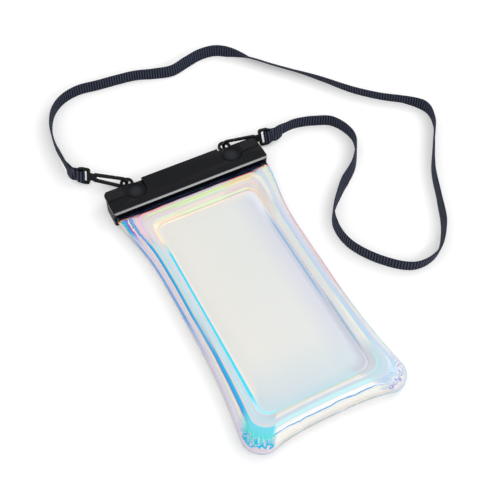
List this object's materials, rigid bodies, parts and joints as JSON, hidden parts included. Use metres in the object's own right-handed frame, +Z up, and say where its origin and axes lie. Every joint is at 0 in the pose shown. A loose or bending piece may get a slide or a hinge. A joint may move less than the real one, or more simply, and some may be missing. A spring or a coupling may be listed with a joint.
{
  "type": "waterproof phone pouch",
  "caption": "Clear inflated pouch that keeps a phone dry, with a lever-locked mouth clamp and a woven neck strap on snap hooks.",
  "frame": {"origin": "on the floor, under the middle of the pouch and clamp, without the strap and hooks", "axes": "+X across the pouch, +Y from the pouch's bottom towards the clamp, +Z up, out of the front window"},
  "size_m": [0.2642, 0.3293, 0.0139],
  "materials": {
    "clamp_plastic": "satin moulded black plastic",
    "lever_plastic": "satin black plastic with a fine dimpled grip on the tab",
    "seal_rubber": "soft dull rubber",
    "cushion_film": "clear glossy film with a pale pearly sheen of blue, pink and cream",
    "window_film": "clear smooth film",
    "hook_plastic": "moulded black plastic",
    "webbing": "ribbed woven webbing, dark navy"
  },
  "bodies": {
    "pouch": {"front_clamp_bar": "clamp_plastic", "back_clamp_bar": "clamp_plastic", "front_seal_strip": "seal_rubber", "back_seal_strip": "seal_rubber", "front_cushion": "cushion_film", "back_cushion": "cushion_film", "front_window": "window_film", "back_window": "window_film", "hook_left": "hook_plastic", "hook_right": "hook_plastic", "lanyard_strap": "webbing", "strap_end_left": "webbing", "strap_end_right": "webbing"},
    "left_lever": {"lever_left": "lever_plastic", "cam_left": "lever_plastic"},
    "right_lever": {"lever_right": "lever_plastic", "cam_right": "lever_plastic"}
  },
  "joints": [
    {"name": "left_lever_turn", "type": "hinge", "parent": "pouch", "child": "left_lever", "pos_m": [-0.0367, 0.09525, 0], "axis": [0, 0, -1], "range_deg": [0, 90]},
    {"name": "right_lever_turn", "type": "hinge", "parent": "pouch", "child": "right_lever", "pos_m": [0.0367, 0.09525, 0], "axis": [0, 0, 1], "range_deg": [0, 90]}
  ]
}
